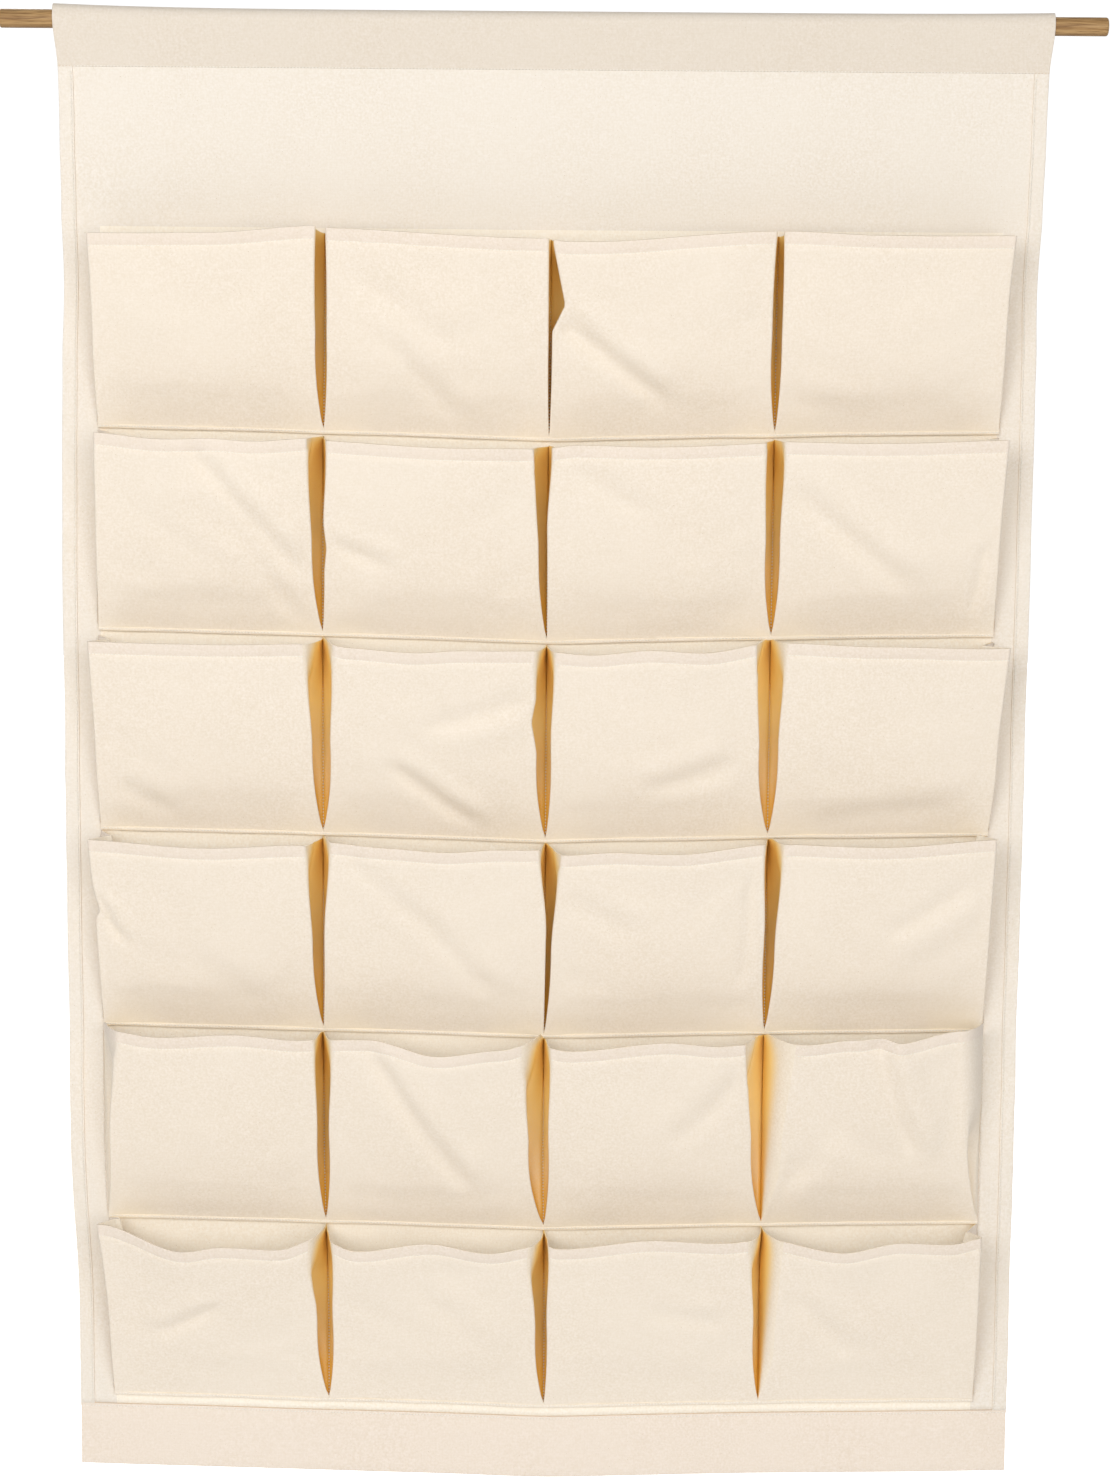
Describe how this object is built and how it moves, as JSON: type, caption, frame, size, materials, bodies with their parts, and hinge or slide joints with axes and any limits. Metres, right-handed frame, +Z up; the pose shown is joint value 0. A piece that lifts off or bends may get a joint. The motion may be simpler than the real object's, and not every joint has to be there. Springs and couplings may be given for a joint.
{
  "type": "hanging shoe organizer",
  "caption": "Canvas wall organizer hung on a round wooden rod, with rows of pleated pockets whose fronts lean out to take shoes.",
  "frame": {"origin": "centre of the wooden rod, midway between its ends", "axes": "+X along the rod to the viewer's right, +Z up, -Y out of the pockets towards the viewer"},
  "size_m": [1.07, 0.0712, 1.4766],
  "materials": {
    "rod_wood": "brown stained hardwood, satin, with fine darker grain",
    "panel_canvas": "unbleached plain-weave cotton canvas with small seed flecks, matte",
    "pocket_canvas": "unbleached plain-weave cotton canvas, matte",
    "pleat_canvas": "the same canvas, warmer where it folds in between two pockets, matte",
    "thread": "cream cotton sewing thread, matte"
  },
  "bodies": {
    "dowel": {"dowel": "rod_wood"},
    "sleeve": {"rod_sleeve": "panel_canvas", "sleeve_stitching": "thread"},
    "panel": {"back_panel": "panel_canvas", "hem_stitching": "thread", "pocket_stitching": "thread", "strip_base_r1": "pocket_canvas", "strip_base_r2": "pocket_canvas", "strip_base_r3": "pocket_canvas", "strip_base_r4": "pocket_canvas", "strip_base_r5": "pocket_canvas", "strip_base_r6": "pocket_canvas"},
    "pocket_r1c1": {"pocket_front_r1c1": "pocket_canvas", "pocket_pleats_r1c1": "pleat_canvas"},
    "pocket_r1c2": {"pocket_front_r1c2": "pocket_canvas", "pocket_pleats_r1c2": "pleat_canvas"},
    "pocket_r1c3": {"pocket_front_r1c3": "pocket_canvas", "pocket_pleats_r1c3": "pleat_canvas"},
    "pocket_r1c4": {"pocket_front_r1c4": "pocket_canvas", "pocket_pleats_r1c4": "pleat_canvas"},
    "pocket_r2c1": {"pocket_front_r2c1": "pocket_canvas", "pocket_pleats_r2c1": "pleat_canvas"},
    "pocket_r2c2": {"pocket_front_r2c2": "pocket_canvas", "pocket_pleats_r2c2": "pleat_canvas"},
    "pocket_r2c3": {"pocket_front_r2c3": "pocket_canvas", "pocket_pleats_r2c3": "pleat_canvas"},
    "pocket_r2c4": {"pocket_front_r2c4": "pocket_canvas", "pocket_pleats_r2c4": "pleat_canvas"},
    "pocket_r3c1": {"pocket_front_r3c1": "pocket_canvas", "pocket_pleats_r3c1": "pleat_canvas"},
    "pocket_r3c2": {"pocket_front_r3c2": "pocket_canvas", "pocket_pleats_r3c2": "pleat_canvas"},
    "pocket_r3c3": {"pocket_front_r3c3": "pocket_canvas", "pocket_pleats_r3c3": "pleat_canvas"},
    "pocket_r3c4": {"pocket_front_r3c4": "pocket_canvas", "pocket_pleats_r3c4": "pleat_canvas"},
    "pocket_r4c1": {"pocket_front_r4c1": "pocket_canvas", "pocket_pleats_r4c1": "pleat_canvas"},
    "pocket_r4c2": {"pocket_front_r4c2": "pocket_canvas", "pocket_pleats_r4c2": "pleat_canvas"},
    "pocket_r4c3": {"pocket_front_r4c3": "pocket_canvas", "pocket_pleats_r4c3": "pleat_canvas"},
    "pocket_r4c4": {"pocket_front_r4c4": "pocket_canvas", "pocket_pleats_r4c4": "pleat_canvas"},
    "pocket_r5c1": {"pocket_front_r5c1": "pocket_canvas", "pocket_pleats_r5c1": "pleat_canvas"},
    "pocket_r5c2": {"pocket_front_r5c2": "pocket_canvas", "pocket_pleats_r5c2": "pleat_canvas"},
    "pocket_r5c3": {"pocket_front_r5c3": "pocket_canvas", "pocket_pleats_r5c3": "pleat_canvas"},
    "pocket_r5c4": {"pocket_front_r5c4": "pocket_canvas", "pocket_pleats_r5c4": "pleat_canvas"},
    "pocket_r6c1": {"pocket_front_r6c1": "pocket_canvas", "pocket_pleats_r6c1": "pleat_canvas"},
    "pocket_r6c2": {"pocket_front_r6c2": "pocket_canvas", "pocket_pleats_r6c2": "pleat_canvas"},
    "pocket_r6c3": {"pocket_front_r6c3": "pocket_canvas", "pocket_pleats_r6c3": "pleat_canvas"},
    "pocket_r6c4": {"pocket_front_r6c4": "pocket_canvas", "pocket_pleats_r6c4": "pleat_canvas"}
  },
  "joints": [
    {"name": "sleeve_slide", "type": "slide", "parent": "dowel", "child": "sleeve", "axis": [1, 0, 0], "range_m": [-0.057, 0.057]},
    {"name": "panel_swing", "type": "hinge", "parent": "sleeve", "child": "panel", "pos_m": [0, 0, -0.045], "axis": [-1, 0, 0], "range_deg": [-20, 85]},
    {"name": "pocket_r1c1_open", "type": "hinge", "parent": "panel", "child": "pocket_r1c1", "pos_m": [-0.33, -0.0015, -0.4], "axis": [1, 0, 0], "range_deg": [-11.5, 6.5], "stiffness_Nm_per_rad": 0.03, "springref_deg": -9.17, "deforming": ["pocket_pleats_r1c1"]},
    {"name": "pocket_r1c2_open", "type": "hinge", "parent": "panel", "child": "pocket_r1c2", "pos_m": [-0.11, -0.0015, -0.4], "axis": [1, 0, 0], "range_deg": [-11.5, 6.5], "stiffness_Nm_per_rad": 0.03, "springref_deg": -9.17, "deforming": ["pocket_pleats_r1c2"]},
    {"name": "pocket_r1c3_open", "type": "hinge", "parent": "panel", "child": "pocket_r1c3", "pos_m": [0.11, -0.0015, -0.4], "axis": [1, 0, 0], "range_deg": [-11.5, 6.5], "stiffness_Nm_per_rad": 0.03, "springref_deg": -9.17, "deforming": ["pocket_pleats_r1c3"]},
    {"name": "pocket_r1c4_open", "type": "hinge", "parent": "panel", "child": "pocket_r1c4", "pos_m": [0.33, -0.0015, -0.4], "axis": [1, 0, 0], "range_deg": [-11.5, 6.5], "stiffness_Nm_per_rad": 0.03, "springref_deg": -9.17, "deforming": ["pocket_pleats_r1c4"]},
    {"name": "pocket_r2c1_open", "type": "hinge", "parent": "panel", "child": "pocket_r2c1", "pos_m": [-0.33, -0.0015, -0.6], "axis": [1, 0, 0], "range_deg": [-11.5, 6.5], "stiffness_Nm_per_rad": 0.03, "springref_deg": -9.17, "deforming": ["pocket_pleats_r2c1"]},
    {"name": "pocket_r2c2_open", "type": "hinge", "parent": "panel", "child": "pocket_r2c2", "pos_m": [-0.11, -0.0015, -0.6], "axis": [1, 0, 0], "range_deg": [-11.5, 6.5], "stiffness_Nm_per_rad": 0.03, "springref_deg": -9.17, "deforming": ["pocket_pleats_r2c2"]},
    {"name": "pocket_r2c3_open", "type": "hinge", "parent": "panel", "child": "pocket_r2c3", "pos_m": [0.11, -0.0015, -0.6], "axis": [1, 0, 0], "range_deg": [-11.5, 6.5], "stiffness_Nm_per_rad": 0.03, "springref_deg": -9.17, "deforming": ["pocket_pleats_r2c3"]},
    {"name": "pocket_r2c4_open", "type": "hinge", "parent": "panel", "child": "pocket_r2c4", "pos_m": [0.33, -0.0015, -0.6], "axis": [1, 0, 0], "range_deg": [-11.5, 6.5], "stiffness_Nm_per_rad": 0.03, "springref_deg": -9.17, "deforming": ["pocket_pleats_r2c4"]},
    {"name": "pocket_r3c1_open", "type": "hinge", "parent": "panel", "child": "pocket_r3c1", "pos_m": [-0.33, -0.0015, -0.8], "axis": [1, 0, 0], "range_deg": [-11.5, 6.5], "stiffness_Nm_per_rad": 0.03, "springref_deg": -9.17, "deforming": ["pocket_pleats_r3c1"]},
    {"name": "pocket_r3c2_open", "type": "hinge", "parent": "panel", "child": "pocket_r3c2", "pos_m": [-0.11, -0.0015, -0.8], "axis": [1, 0, 0], "range_deg": [-11.5, 6.5], "stiffness_Nm_per_rad": 0.03, "springref_deg": -9.17, "deforming": ["pocket_pleats_r3c2"]},
    {"name": "pocket_r3c3_open", "type": "hinge", "parent": "panel", "child": "pocket_r3c3", "pos_m": [0.11, -0.0015, -0.8], "axis": [1, 0, 0], "range_deg": [-11.5, 6.5], "stiffness_Nm_per_rad": 0.03, "springref_deg": -9.17, "deforming": ["pocket_pleats_r3c3"]},
    {"name": "pocket_r3c4_open", "type": "hinge", "parent": "panel", "child": "pocket_r3c4", "pos_m": [0.33, -0.0015, -0.8], "axis": [1, 0, 0], "range_deg": [-11.5, 6.5], "stiffness_Nm_per_rad": 0.03, "springref_deg": -9.17, "deforming": ["pocket_pleats_r3c4"]},
    {"name": "pocket_r4c1_open", "type": "hinge", "parent": "panel", "child": "pocket_r4c1", "pos_m": [-0.33, -0.0015, -1], "axis": [1, 0, 0], "range_deg": [-11.5, 6.5], "stiffness_Nm_per_rad": 0.03, "springref_deg": -9.17, "deforming": ["pocket_pleats_r4c1"]},
    {"name": "pocket_r4c2_open", "type": "hinge", "parent": "panel", "child": "pocket_r4c2", "pos_m": [-0.11, -0.0015, -1], "axis": [1, 0, 0], "range_deg": [-11.5, 6.5], "stiffness_Nm_per_rad": 0.03, "springref_deg": -9.17, "deforming": ["pocket_pleats_r4c2"]},
    {"name": "pocket_r4c3_open", "type": "hinge", "parent": "panel", "child": "pocket_r4c3", "pos_m": [0.11, -0.0015, -1], "axis": [1, 0, 0], "range_deg": [-11.5, 6.5], "stiffness_Nm_per_rad": 0.03, "springref_deg": -9.17, "deforming": ["pocket_pleats_r4c3"]},
    {"name": "pocket_r4c4_open", "type": "hinge", "parent": "panel", "child": "pocket_r4c4", "pos_m": [0.33, -0.0015, -1], "axis": [1, 0, 0], "range_deg": [-11.5, 6.5], "stiffness_Nm_per_rad": 0.03, "springref_deg": -9.17, "deforming": ["pocket_pleats_r4c4"]},
    {"name": "pocket_r5c1_open", "type": "hinge", "parent": "panel", "child": "pocket_r5c1", "pos_m": [-0.33, -0.0015, -1.2], "axis": [1, 0, 0], "range_deg": [-11.5, 6.5], "stiffness_Nm_per_rad": 0.03, "springref_deg": -9.17, "deforming": ["pocket_pleats_r5c1"]},
    {"name": "pocket_r5c2_open", "type": "hinge", "parent": "panel", "child": "pocket_r5c2", "pos_m": [-0.11, -0.0015, -1.2], "axis": [1, 0, 0], "range_deg": [-11.5, 6.5], "stiffness_Nm_per_rad": 0.03, "springref_deg": -9.17, "deforming": ["pocket_pleats_r5c2"]},
    {"name": "pocket_r5c3_open", "type": "hinge", "parent": "panel", "child": "pocket_r5c3", "pos_m": [0.11, -0.0015, -1.2], "axis": [1, 0, 0], "range_deg": [-11.5, 6.5], "stiffness_Nm_per_rad": 0.03, "springref_deg": -9.17, "deforming": ["pocket_pleats_r5c3"]},
    {"name": "pocket_r5c4_open", "type": "hinge", "parent": "panel", "child": "pocket_r5c4", "pos_m": [0.33, -0.0015, -1.2], "axis": [1, 0, 0], "range_deg": [-11.5, 6.5], "stiffness_Nm_per_rad": 0.03, "springref_deg": -9.17, "deforming": ["pocket_pleats_r5c4"]},
    {"name": "pocket_r6c1_open", "type": "hinge", "parent": "panel", "child": "pocket_r6c1", "pos_m": [-0.33, -0.0015, -1.388], "axis": [1, 0, 0], "range_deg": [-11.5, 6.5], "stiffness_Nm_per_rad": 0.03, "springref_deg": -9.17, "deforming": ["pocket_pleats_r6c1"]},
    {"name": "pocket_r6c2_open", "type": "hinge", "parent": "panel", "child": "pocket_r6c2", "pos_m": [-0.11, -0.0015, -1.388], "axis": [1, 0, 0], "range_deg": [-11.5, 6.5], "stiffness_Nm_per_rad": 0.03, "springref_deg": -9.17, "deforming": ["pocket_pleats_r6c2"]},
    {"name": "pocket_r6c3_open", "type": "hinge", "parent": "panel", "child": "pocket_r6c3", "pos_m": [0.11, -0.0015, -1.388], "axis": [1, 0, 0], "range_deg": [-11.5, 6.5], "stiffness_Nm_per_rad": 0.03, "springref_deg": -9.17, "deforming": ["pocket_pleats_r6c3"]},
    {"name": "pocket_r6c4_open", "type": "hinge", "parent": "panel", "child": "pocket_r6c4", "pos_m": [0.33, -0.0015, -1.388], "axis": [1, 0, 0], "range_deg": [-11.5, 6.5], "stiffness_Nm_per_rad": 0.03, "springref_deg": -9.17, "deforming": ["pocket_pleats_r6c4"]}
  ]
}
